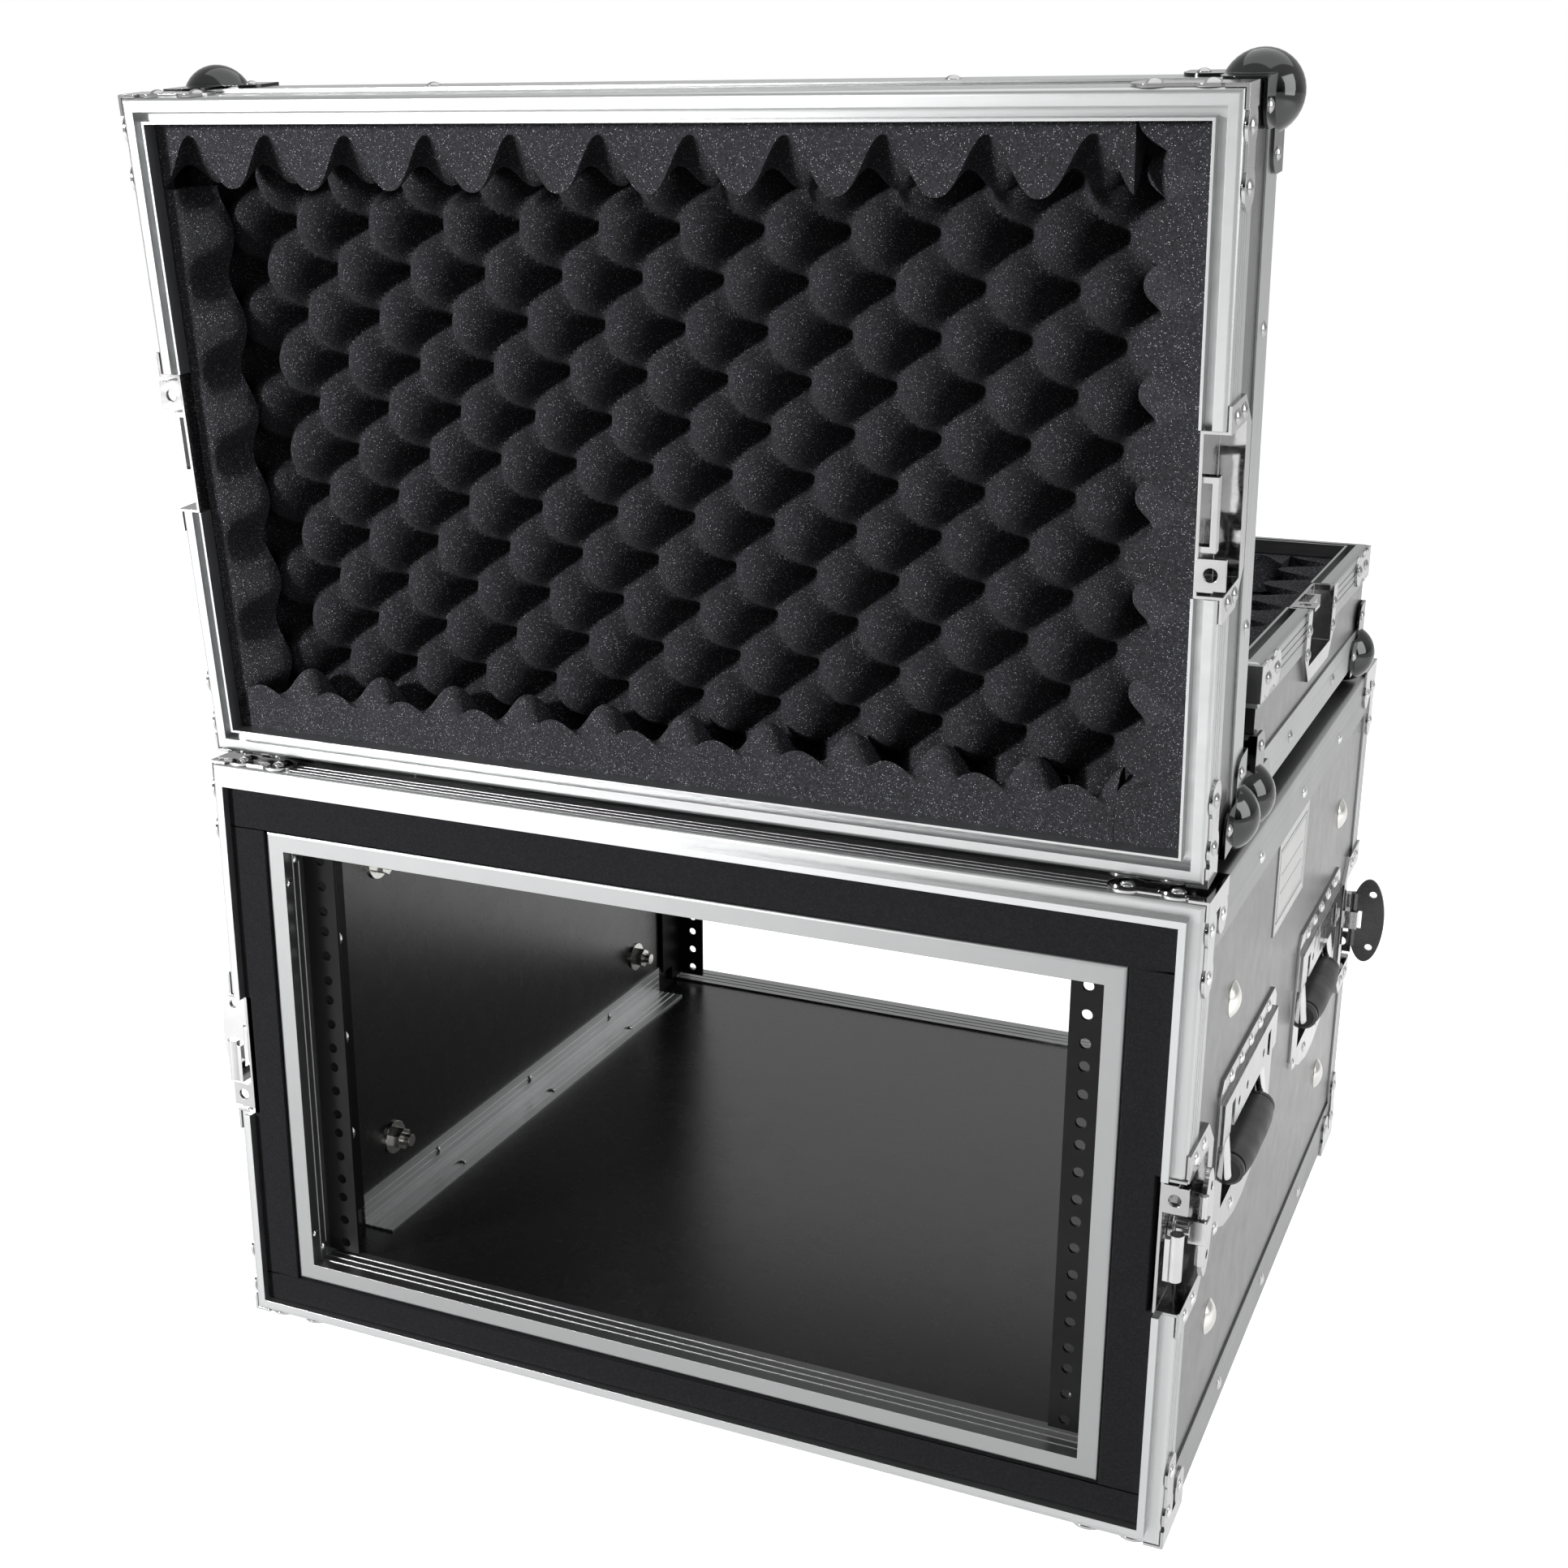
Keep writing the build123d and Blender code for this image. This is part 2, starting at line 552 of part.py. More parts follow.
def latch_rotor():
    """Spindle: a disc on the tray's floor and a square head that carries the wing."""
    floor = SIDE - 11.0 + PLATE + 0.3
    rotor = rod((floor, SPINDLE_Y, LATCH_Z), (floor + 2.4, SPINDLE_Y, LATCH_Z), 11.0)
    rotor += rod((floor, SPINDLE_Y, LATCH_Z), (SIDE + 1, SPINDLE_Y, LATCH_Z), 5.5)
    head = (SPINDLE_Y - 4.5, SPINDLE_Y + 4.5, LATCH_Z - 6.5, LATCH_Z + 6.5)
    rotor += block(SIDE + 0.4, WING_X + 3.4, *head)
    return rotor - rod((WING_X, SPINDLE_Y, LATCH_Z - 20), (WING_X, SPINDLE_Y, LATCH_Z + 20), 1.6)


def latch_wing(standing):
    """Oval thumb plate with two finger holes, pinned through the spindle's head."""
    half_length, half_width, thick = 31.0, 12.0, 2.6
    oval = make_face(Pos(9.5, 0) * Ellipse(half_width, half_length).edge())
    wing = extrude(oval, thick / 2, both=True) & Pos(50, 0, 0) * Box(100, 100, 10)
    wing -= Box(12.0, 13.8, 20)
    for side in (-1, 1):
        wing -= Pos(12.5, side * 20.0, 0) * Cylinder(2.6, 10)
    wing = Rot(90, 0, 0) * wing
    for side in (-1, 1):
        wing += rod((0, 0, side * 6.9), (0, 0, side * 20.0), 2.6)
    wing += rod((0, 0, -8), (0, 0, 8), 1.5)
    turn = 0 if standing else 90
    return Pos(WING_X, SPINDLE_Y, LATCH_Z) * Rot(0, 0, turn) * wing


def latch_hook():
    """Flat drawbar beside the spindle with a cross-bar that grips the lid's catch."""
    low, high, bar = SIDE - 6.4, SIDE - 3.9, SIDE - 0.6
    z = LATCH_Z - 3.0
    hook = block(low, high, FRONT - 2, SPINDLE_Y + 4, LATCH_Z - 17, LATCH_Z - 8)
    hook += rod((bar, FRONT - 3, z - 13), (bar, FRONT - 3, z + 13), 3.6)
    hook += block(low, bar, FRONT - 4.5, FRONT - 1, LATCH_Z - 17, z + 10)
    return hook


def make_latches():
    dishes = []
    for name, image in PLACES.items():
        dishes.append(image(latch_dish(TAB_UP[name])))
        write(f"latch_rotor_{name}", image(latch_rotor()))
        write(f"latch_wing_{name}", image(latch_wing(name in STANDING)))
        write(f"latch_hook_{name}", image(latch_hook()))
    write("latch_dishes", dishes)


# ---- lids, modelled with the opening in the plane y = 0 and the floor at z = 0 ----
LID_MID = HEIGHT / 2


def lid_notches():
    cut = block(SIDE - 14, WIDTH, -10, 36, LID_MID - NOTCH_HALF - PLATE, LID_MID + NOTCH_HALF + PLATE)
    return [cut, mirror_x(cut)]


def lid_boards():
    lift = Pos(0, 0, LID_MID)
    walls = [lift * b for b in wall_boards(WIDTH, HEIGHT, 8.8, LID_DEPTH - SKIN - BOARD)]
    for cut in lid_notches():
        walls = [wall - cut for wall in walls]
    back = block(-SIDE, SIDE, LID_DEPTH - SKIN - BOARD, LID_DEPTH - SKIN, SKIN, HEIGHT - SKIN)
    return walls, back


def lid_extrusion():
    bars = [Pos(0, 0, LID_MID) * b for b in frame_bars(WIDTH, HEIGHT, groove_outline())]
    for cut in lid_notches():
        bars = [bar - cut for bar in bars]
    return bars


def angle_outline():
    """Edge angle round the outer face; points are (depth, inset)."""
    leg = 26.0
    return [(-leg, 0.0), (0.0, 0.0), (0.0, leg), (-SKIN, leg), (-SKIN, SKIN), (-leg, SKIN)]


def lid_angles():
    bars = frame_bars(WIDTH, HEIGHT, angle_outline(), 3.0)
    return [Pos(0, LID_DEPTH, LID_MID) * bar for bar in bars]


def corner_leg():
    """Leg along -X from a corner at the origin, wrapped over two faces, its end rounded."""
    wide, t = 21.0, PLATE
    half = wide / 2
    end = 3 * half
    leg = block(-end, t, -wide, t, -wide, t) + block(-end - half, t, -half, t, -half, t)
    leg += rod((-end, -half, -wide), (-end, -half, t), half)
    return leg + rod((-end, -wide, -half), (-end, t, -half), half)


def lid_ball_corner():
    """Pressed ball over the right top corner of the outer face, with three legs."""
    turn = Location(Plane(origin=(0, 0, 0), x_dir=(0, 1, 0), z_dir=(1, 0, 0)))
    ball = Pos(-BALL_INSET, -BALL_INSET, -BALL_INSET) * Sphere(BALL_R)
    corner = ball + corner_leg() + turn * corner_leg() + turn * turn * corner_leg()
    corner -= block(-WIDTH, 0, -LID_DEPTH, 0, -HEIGHT, 0)
    return Pos(WIDTH / 2, LID_DEPTH, HEIGHT) * corner


def lid_four(shape):
    upper = [shape, mirror_x(shape)]
    return upper + [Pos(0, 0, HEIGHT) * mirror(s, Plane.XY) for s in upper]


def lid_keeper(tab_up):
    """Lid half of a latch: a tray with an upright catch bar and a padlock tab."""
    n, back = NOTCH_HALF, 34.0
    keeper = latch_flange(50.0, 44.0, 0, LID_MID)
    deep = 11.0
    keeper += block(SIDE - deep, SIDE + 2, 0.4, back + PLATE, LID_MID - n - PLATE, LID_MID + n + PLATE)
    keeper -= block(SIDE - deep + PLATE, SIDE + 5, -3, back, LID_MID - n, LID_MID + n)
    bar = block(SIDE - 5, SIDE - 2, 2.5, 8.0, LID_MID - 17.5, LID_MID + 17.5)
    for foot in (LID_MID - 16, LID_MID + 16):
        bar += block(SIDE - deep + 1, SIDE - 2, 2.5, 8.0, foot - 1.5, foot + 1.5)
    z = LID_MID + tab_up * 27.0
    tab, eye = padlock_tab(1.2, z, tab_up)
    return keeper + bar + tab - eye


def lid_fixings():
    """Opening corner brackets and every rivet head of a lid."""
    x, z, t = WIDTH / 2, HEIGHT, PLATE
    near, far = LOBES
    bracket = lobed_bracket(0, z, [(near, 11), (far, 11)])
    heads = [dome((x + t, 11, z - near), (1, 0, 0)), dome((x + t, 11, z - far), (1, 0, 0)),
             dome((x - near, 11, z + t), (0, 0, 1)), dome((x - far, 11, z + t), (0, 0, 1)),
             dome((x - 33, LID_DEPTH - 11, z + t), (0, 0, 1), 3.4),
             dome((x + t, LID_DEPTH - 11, z - 33), (1, 0, 0), 3.4),
             dome((x + t, LID_DEPTH - 34, z - 11), (1, 0, 0), 3.4),
             dome((x - 33, LID_DEPTH + t, z - 11), (0, 1, 0), 3.4),
             dome((x - 11, LID_DEPTH + t, z - 33), (0, 1, 0), 3.4),
             dome((x - 150, LID_DEPTH - 13, z), (0, 0, 1)),
             dome((x - 150, LID_DEPTH, z - 13), (0, 1, 0)),
             dome((x, LID_DEPTH - 13, z - 110), (1, 0, 0))]
    for y in (12.0, 26.0):
        heads.append(dome((x + t, y, LID_MID + 43.0), (1, 0, 0)))
    fixings = [bracket] + heads
    return [image for piece in fixings for image in lid_four(piece)]


def lid_foams():
    """Back pad and the four strips round the opening, clear of the latch trays."""
    thick, gap = 40.0, 0.2
    x1 = SIDE - BOARD - 2.3
    z0 = SKIN + BOARD + 1.4
    z1 = HEIGHT - z0
    back = LID_DEPTH - SKIN - BOARD - gap
    y0, y1 = 9.2, back - thick - gap
    pad = block(gap - x1, x1 - gap, back - thick, back, z0 + gap, z1 - gap)
    side = block(x1 - thick, x1, y0, y1, z0, z1)
    reach = x1 - thick - gap
    top = block(-reach, reach, y0, y1, z1 - thick, z1)
    bottom = block(-reach, reach, y0, y1, z0, z0 + thick)
    return pad, [side, mirror_x(side), top, bottom]


def make_lid(name, place):
    walls, back = lid_boards()
    pad, strips = lid_foams()
    keepers = [lid_keeper(-1), mirror_x(lid_keeper(1))]
    parts = {
        "walls": walls, "back_board": [back], "extrusion": lid_extrusion(), "edge_angles": lid_angles(),
        "ball_corners": lid_four(lid_ball_corner()), "keepers": keepers, "fixings": lid_fixings(),
        "back_foam": [pad], "side_foam": strips,
    }
    for part, shapes in parts.items():
        write(f"{name}_{part}", [place * shape for shape in shapes])


def make_lids():
    ball_out = BALL_R - BALL_INSET
    set_back, shift = 12.0, -4.0
    standing_z = TOP + 2 * PLATE + RIVET_H + 0.3
    make_lid("standing_lid", Pos(shift, FRONT + set_back, standing_z) * Rot(LID_LEAN, 0, 0))
    lying_y = FRONT + set_back + LID_DEPTH + ball_out + 13.5
    lying_z = TOP + ball_out + 0.4 + LID_DEPTH
    make_lid("lying_lid", Pos(shift, lying_y, lying_z) * Rot(-90, 0, 0))


def main():
    os.makedirs("parts", exist_ok=True)
    make_shell()
    make_extrusions()
    make_edge_angles()
    make_corner_brackets()
    make_rivets()
    make_label()
    make_gap_foam()
    make_sleeve()
    make_corner_strips()
    make_sleeve_screws()
    make_rails()
    make_shock_mounts()
    make_handles()
    make_latches()
    make_lids()


main()
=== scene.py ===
import json
import math
import bmesh
import bpy
from mathutils import Matrix, Vector, noise

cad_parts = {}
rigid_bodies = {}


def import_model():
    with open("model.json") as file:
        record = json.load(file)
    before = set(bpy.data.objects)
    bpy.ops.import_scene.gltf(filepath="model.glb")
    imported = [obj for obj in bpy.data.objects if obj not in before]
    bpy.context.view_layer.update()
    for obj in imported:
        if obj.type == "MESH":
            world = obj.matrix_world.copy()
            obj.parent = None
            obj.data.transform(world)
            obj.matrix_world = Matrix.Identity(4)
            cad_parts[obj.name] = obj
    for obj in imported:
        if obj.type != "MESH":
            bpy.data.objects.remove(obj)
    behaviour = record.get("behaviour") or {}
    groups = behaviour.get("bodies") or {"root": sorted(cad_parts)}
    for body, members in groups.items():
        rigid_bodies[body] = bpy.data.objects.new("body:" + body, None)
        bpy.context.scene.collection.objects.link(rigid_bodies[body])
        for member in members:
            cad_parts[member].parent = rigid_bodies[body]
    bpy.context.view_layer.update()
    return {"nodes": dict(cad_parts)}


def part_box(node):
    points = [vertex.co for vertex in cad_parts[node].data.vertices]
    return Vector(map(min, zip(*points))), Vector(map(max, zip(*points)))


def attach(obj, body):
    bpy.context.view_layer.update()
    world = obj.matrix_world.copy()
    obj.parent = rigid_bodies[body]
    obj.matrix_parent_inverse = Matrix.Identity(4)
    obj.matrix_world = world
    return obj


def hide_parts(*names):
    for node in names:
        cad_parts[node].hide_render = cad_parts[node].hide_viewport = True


for old in list(bpy.data.objects):
    bpy.data.objects.remove(old)
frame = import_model()
nodes = frame["nodes"]
MM = 0.001
NOISE_ROUGHNESS = 0.55
PLACES = ("right_front", "left_front", "right_rear", "left_rear")


# ---- node materials ----
class Look:
    """A material around one Principled shader, with helpers for its node tree."""

    def __init__(self, name, **sockets):
        self.material = bpy.data.materials.new(name)
        self.material.use_nodes = True
        self.tree = self.material.node_tree
        self.shader = self.tree.nodes["Principled BSDF"]
        for socket, value in sockets.items():
            self.shader.inputs[socket.replace("_", " ")].default_value = value
        self.place = self.add("ShaderNodeTexCoord").outputs["Object"]
        self.normal = None

    def add(self, kind, **settings):
        node = self.tree.nodes.new(kind)
        for key, value in settings.items():
            setattr(node, key, value)
        return node

    def link(self, source, socket):
        self.tree.links.new(source, socket)

    def set(self, socket, source):
        self.link(source, self.shader.inputs[socket])

    def scaled(self, stretch):
        mapping = self.add("ShaderNodeMapping")
        mapping.inputs["Scale"].default_value = stretch
        self.link(self.place, mapping.inputs["Vector"])
        return mapping.outputs["Vector"]

    def noise(self, scale, detail=3.0, stretch=(1, 1, 1)):
        texture = self.add("ShaderNodeTexNoise")
        texture.inputs["Scale"].default_value = scale
        texture.inputs["Detail"].default_value = detail
        texture.inputs["Roughness"].default_value = NOISE_ROUGHNESS
        self.link(self.scaled(stretch), texture.inputs["Vector"])
        return texture.outputs["Fac"]

    def cells(self, scale, output="Color"):
        texture = self.add("ShaderNodeTexVoronoi")
        texture.inputs["Scale"].default_value = scale
        self.link(self.place, texture.inputs["Vector"])
        return texture.outputs[output]

    def remap(self, source, low, high, out_low, out_high):
        node = self.add("ShaderNodeMapRange")
        for key, value in (("From Min", low), ("From Max", high), ("To Min", out_low), ("To Max", out_high)):
            node.inputs[key].default_value = value
        self.link(source, node.inputs["Value"])
        return node.outputs["Result"]

    def math(self, operation, a, b=None):
        node = self.add("ShaderNodeMath", operation=operation)
        for index, value in enumerate((a, b)):
            if value is None:
                continue
            if isinstance(value, (int, float)):
                node.inputs[index].default_value = value
            else:
                self.link(value, node.inputs[index])
        return node.outputs["Value"]

    def ramp(self, source, *stops):
        node = self.add("ShaderNodeValToRGB")
        elements = node.color_ramp.elements
        while len(elements) < len(stops):
            elements.new(0.5)
        for element, (position, shade) in zip(elements, stops):
            element.position = position
            element.color = (*shade, 1.0) if hasattr(shade, "__len__") else (shade, shade, shade, 1.0)
        self.link(source, node.inputs["Fac"])
        return node.outputs["Color"]

    def mix(self, factor, a, b):
        node = self.add("ShaderNodeMix", data_type="RGBA")
        for socket, value in ((node.inputs["Factor"], factor), (node.inputs[6], a), (node.inputs[7], b)):
            if hasattr(value, "is_linked") or hasattr(value, "links"):
                self.link(value, socket)
            else:
                socket.default_value = value
        return node.outputs[2]

    def rounded(self, radius):
        bevel = self.add("ShaderNodeBevel", samples=4)
        bevel.inputs["Radius"].default_value = radius
        self.normal = bevel.outputs["Normal"]
        self.set("Normal", self.normal)

    def bump(self, height, distance, strength=1.0):
        node = self.add("ShaderNodeBump")
        node.inputs["Distance"].default_value = distance
        node.inputs["Strength"].default_value = strength
        self.link(height, node.inputs["Height"])
        if self.normal is not None:
            self.link(self.normal, node.inputs["Normal"])
        self.normal = node.outputs["Normal"]
        self.set("Normal", self.normal)


def laminate(name, dark, light, roughness, specular):
    """Phenolic film on plywood: fine pebble, faint clouding and a few long scuffs."""
    look = Look(name, Specular_IOR_Level=specular)
    look.rounded(0.0005)
    clouds = look.noise(9, 4)
    look.set("Base Color", look.ramp(clouds, (0.3, dark), (0.75, light)))
    scuffs = look.noise(30, 2, (1, 14, 1.5))
    worn = look.remap(scuffs, 0.62, 0.75, 0.0, 0.06)
    base = look.remap(look.noise(60, 3), 0.3, 0.7, roughness - 0.02, roughness + 0.02)
    look.set("Roughness", look.math("SUBTRACT", base, worn))
    look.bump(look.noise(1400, 2), 0.00008, 0.5)
    return look.material


def aluminium(name, across, shade, roughness=0.34):
    """Anodised extrusion: fine die lines along the bar, set out over its cross-section."""
    look = Look(name, Metallic=1.0)
    look.rounded(0.0004)
    stretch = [900.0 if axis else 3.0 for axis in across]
    lines = look.noise(1.0, 2, stretch)
    clouds = look.noise(22, 3)
    tone = look.math("ADD", look.math("MULTIPLY", lines, 0.7), look.math("MULTIPLY", clouds, 0.3))
    cool = (shade * 0.985, shade * 0.995, shade)
    look.set("Base Color", look.ramp(tone, (0.3, [c * 0.9 for c in cool]), (0.7, cool)))
    look.set("Roughness", look.remap(tone, 0.25, 0.75, roughness + 0.08, roughness - 0.06))
    look.bump(lines, 0.00003, 0.6)
    return look.material


def zinc(name, shade, roughness, dent=0.00012, tint=(1.0, 1.0, 1.0)):
    """Bright zinc on pressed steel: soft dents, cloudy gloss and small scratches."""
    look = Look(name, Metallic=1.0)
    look.rounded(0.0005)
    clouds = look.noise(45, 4)
    bright = [shade * c for c in tint]
    look.set("Base Color", look.ramp(clouds, (0.3, [c * 0.86 for c in bright]), (0.7, bright)))
    scratches = look.noise(320, 3, (1, 0.25, 2.2))
    look.set("Roughness", look.remap(scratches, 0.3, 0.75, roughness - 0.03, roughness + 0.05))
    look.bump(look.noise(60, 2), dent, 0.5)
    return look.material


def foam(name, dark, light, sparkle, pore, depth):
    """Open-cell foam: pores, and painted glints of cut cell walls, light dots in the base colour."""
    look = Look(name, Roughness=1.0, Specular_IOR_Level=0.1)
    cell = look.add("ShaderNodeSeparateColor")
    look.link(look.cells(pore), cell.inputs["Color"])
    middle = look.cells(pore, "Distance")
    ground = look.ramp(look.noise(700, 3), (0.3, dark), (0.72, light))
    # Painted glints: chosen pore cells get light dots of the sparkle colour in the base colour, standing for
    # light caught by cut cell walls.
    chosen = look.remap(cell.outputs["Red"], 0.7, 0.98, 0.0, 1.0)
    glint = look.math("MULTIPLY", chosen, look.remap(middle, 0.2, 0.34, 1.0, 0.0))
    look.set("Base Color", look.mix(glint, ground, (*sparkle, 1.0)))
    look.bump(middle, depth, 0.8)
    look.bump(look.noise(420, 3), depth, 0.5)
    return look.material


def rubber(name, shade, roughness):
    """Moulded rubber: matt skin with a fine grain and slightly polished patches."""
    look = Look(name)
    clouds = look.noise(60, 3)
    look.set("Base Color", look.ramp(clouds, (0.3, shade * 0.8), (0.75, shade * 1.6)))
    look.set("Roughness", look.remap(clouds, 0.3, 0.7, roughness + 0.1, roughness - 0.08))
    look.bump(look.noise(1500, 2), 0.0001, 0.6)
    return look.material


def powder_coat(name):
    """Black powder coat with its fine orange peel."""
    look = Look(name, Specular_IOR_Level=0.12)
    look.rounded(0.0005)
    look.set("Base Color", look.ramp(look.noise(30, 3), (0.3, 0.006), (0.75, 0.011)))
    look.set("Roughness", look.remap(look.noise(200, 2), 0.3, 0.7, 0.36, 0.5))
    look.bump(look.noise(1100, 2), 0.0001, 0.6)
    return look.material


LABEL_BORDERS = ((0.0055, 0.0069), (0.0082, 0.0087))    # printed lines, in from the edge
LABEL_MARGIN = 0.013
LABEL_RULES = (0.4, 0.6)     # blank ruled lines, as shares of the height
RULE_HALF = 0.0004


def label(name):
    """White plate with a printed double border and two blank ruled lines."""
    look = Look(name, Roughness=0.45)
    low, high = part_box("label_plate")
    split = look.add("ShaderNodeSeparateXYZ")
    look.link(look.place, split.inputs["Vector"])
    inset = None
    for axis, output in ((1, "Y"), (2, "Z")):
        near = look.math("SUBTRACT", split.outputs[output], low[axis])
        far = look.math("SUBTRACT", high[axis], split.outputs[output])
        gap = look.math("MINIMUM", near, far)
        inset = gap if inset is None else look.math("MINIMUM", inset, gap)
    ink = None
    for start, end in LABEL_BORDERS:
        after, before = look.math("GREATER_THAN", inset, start), look.math("LESS_THAN", inset, end)
        line = look.math("MULTIPLY", after, before)
        ink = line if ink is None else look.math("ADD", ink, line)
    inside = look.math("GREATER_THAN", inset, LABEL_MARGIN)
    for share in LABEL_RULES:
        height = low[2] + share * (high[2] - low[2])
        off = look.math("ABSOLUTE", look.math("SUBTRACT", split.outputs["Z"], height))
        rule = look.math("MULTIPLY", look.math("LESS_THAN", off, RULE_HALF), inside)
        ink = look.math("ADD", ink, rule)
    paper = look.ramp(look.noise(40, 3), (0.3, (0.9, 0.9, 0.89)), (0.7, (0.95, 0.95, 0.94)))
    look.set("Base Color", look.mix(ink, paper, (0.22, 0.23, 0.26, 1.0)))
    look.bump(look.noise(900, 2), 0.00005, 0.4)
    return look.material


LAMINATE = laminate("black_laminate", 0.022, 0.026, 0.22, 0.5)
# Darker copy of the black laminate for the sleeve boards inside the case: painted shade of that recess.
SLEEVE = laminate("sleeve_laminate_painted_shade", 0.003, 0.005, 0.27, 0.9)
# Copies of one satin aluminium with different shades: the edge angles, the lying lid's bars and the sleeve
# trims are darker with painted shade, the sleeve corner strips lighter with painted light.
ALONG_Y = aluminium("satin_aluminium_along_y_painted_shade", (1, 0, 1), 0.28)
ROUND_Y = aluminium("satin_aluminium_round_y", (0, 1, 0), 0.5)
ROUND_Z = aluminium("satin_aluminium_round_z_painted_shade", (0, 0, 1), 0.4)
TRIM = aluminium("trim_aluminium", (0, 1, 0), 0.33, 0.36)
STRIP = aluminium("strip_aluminium_painted_light", (1, 0, 1), 0.8, 0.36)
BRACKET = zinc("bright_bracket", 0.43, 0.1)
DISH = zinc("bright_dish", 0.4, 0.09, 0.0005)
RIVET = zinc("rivet_steel", 0.7, 0.12, 0.00003)
BOLT = zinc("bright_bolt", 0.76, 0.22, 0.00003, (1.0, 0.99, 0.95))
STEEL = zinc("latch_steel", 0.52, 0.14, 0.00006)
# Darker copy of the latch steel: painted dark reflection.
WING = zinc("latch_steel_painted_dark_reflection", 0.1, 0.25, 0.00006)
BAIL = zinc("bail_steel", 0.58, 0.1, 0.00006)
# Chrome ball corners with a near-black base colour: painted reflection of a dark room.
BALL = zinc("dark_chrome", 0.07, 0.07, 0.00005, (0.98, 0.99, 1.0))
POWDER = powder_coat("black_powder_coat")
GRIP = rubber("grip_rubber", 0.03, 0.5)
MOUNT = rubber("mount_rubber", 0.02, 0.6)
CHARCOAL = foam("charcoal_foam", (0.021, 0.021, 0.024), (0.05, 0.05, 0.057), (0.75, 0.75, 0.8), 1500, 0.0004)
# Darker copy of the charcoal foam for the back pads: painted shade of the recess they lie in.
PAD_FOAM = foam("charcoal_foam_painted_shade", (0.012, 0.012, 0.014), (0.031, 0.031, 0.036), (0.6, 0.6, 0.64),
                1500, 0.0004)
BLACK_FOAM = foam("black_foam", (0.013, 0.013, 0.014), (0.02, 0.02, 0.022), (0.05, 0.05, 0.055), 1500, 0.0002)
LABEL = label("white_label")


def finish_cad():
    """Every CAD node gets its detailed material."""
    looks = {
        LAMINATE: ["top_panel", "bottom_panel", "left_panel", "right_panel"],
        SLEEVE: ["sleeve_boards"],
        ALONG_Y: ["edge_angles"],
        ROUND_Y: ["front_extrusion", "rear_extrusion", "standing_lid_extrusion", "standing_lid_edge_angles"],
        ROUND_Z: ["lying_lid_extrusion", "lying_lid_edge_angles"],
        TRIM: ["sleeve_trims"],
        STRIP: ["sleeve_corner_strips"],
        BRACKET: ["corner_brackets", "standing_lid_fixings", "lying_lid_fixings"],
        RIVET: ["shell_rivets", "sleeve_screws"],
        LABEL: ["label_plate"],
        POWDER: ["front_rack_rails", "rear_rack_rails"],
        MOUNT: ["shock_mount_rubbers"],
        BOLT: ["shock_mount_bolts", "shock_mount_nuts"],
        DISH: ["handle_dishes", "latch_dishes", "standing_lid_keepers", "lying_lid_keepers"],
        BALL: ["standing_lid_ball_corners", "lying_lid_ball_corners"],
    }
    for lid in ("standing_lid", "lying_lid"):
        looks[LAMINATE] += [f"{lid}_walls", f"{lid}_back_board"]
    for place in PLACES:
        looks.setdefault(BAIL, []).append(f"handle_bail_{place}")
        looks.setdefault(GRIP, []).append(f"handle_grip_{place}")
        looks.setdefault(STEEL, []).extend(f"latch_{part}_{place}" for part in ("rotor", "wing", "hook"))
    # The right rear wing alone takes the darker copy: painted dark reflection.
    looks[WING] = ["latch_wing_right_rear"]
    for material, names in looks.items():
        for name in names:
            nodes[name].data.materials.clear()
            nodes[name].data.materials.append(material)


# ---- foam ----
def add_object(name, mesh, material, body):
    """Object of a mesh, riding on a body."""
    mesh.materials.append(material)
    piece = bpy.data.objects.new(name, mesh)
    bpy.context.scene.collection.objects.link(piece)
    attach(piece, body)
    return piece


def slab(name, count_u, count_v, top, base):
    """Closed mesh between a modelled top(u, v) and the rim of a flat base(u, v)."""
    form = bmesh.new()
    grid = [[form.verts.new(top(i / count_u, j / count_v)) for j in range(count_v + 1)]
            for i in range(count_u + 1)]
    for i in range(count_u):
        for j in range(count_v):
            form.faces.new((grid[i][j], grid[i + 1][j], grid[i + 1][j + 1], grid[i][j + 1]))
    rim = [(i, 0) for i in range(count_u)] + [(count_u, j) for j in range(count_v)]
    rim += [(i, count_v) for i in range(count_u, 0, -1)] + [(0, j) for j in range(count_v, 0, -1)]
    low = [form.verts.new(base(i / count_u, j / count_v)) for i, j in rim]
    for k in range(len(rim)):
        following = (k + 1) % len(rim)
        a, b = rim[k], rim[following]
        form.faces.new((grid[b[0]][b[1]], grid[a[0]][a[1]], low[k], low[following]))
    form.faces.new(low[::-1])
    bmesh.ops.recalc_face_normals(form, faces=form.faces)
    mesh = bpy.data.meshes.new(name)
    form.to_mesh(mesh)
    form.free()
    for face in mesh.polygons:
        face.use_smooth = len(face.vertices) == 4
    mesh.set_sharp_from_angle(angle=math.radians(50))
    return mesh


# lid linings, in mm in the lid's frame: x across, y depth from the opening, z up
PAD_PITCH = (45.8, 49.5)     # between knobs along a row, and between every second row
PAD_HALF = 279.3
PAD_Z = (11.8, 351.6)
PAD_ROW = 270.4              # height of a row of knobs
PAD_BACK = 69.6
PAD_THICK = 40.0
KNOB_RISE = 33.0
PAD_STEPS = (232, 142)
STRIP_PITCH = 48.4
STRIP_X = 279.5
STRIP_Z = (11.6, 351.8)
STRIP_FRONT = 9.2
STRIP_DEEP = 20.2
STRIP_LOW = 7.5              # thickness under a pit
STRIP_RISE = 27.5
STRIP_STEP = 2.2
STRIP_ROWS = 12
STRIP_GAP = 0.3              # between strips that meet at a corner
FACE = 0.01                  # cut square at the front
KNOB_STEEP = 2.15
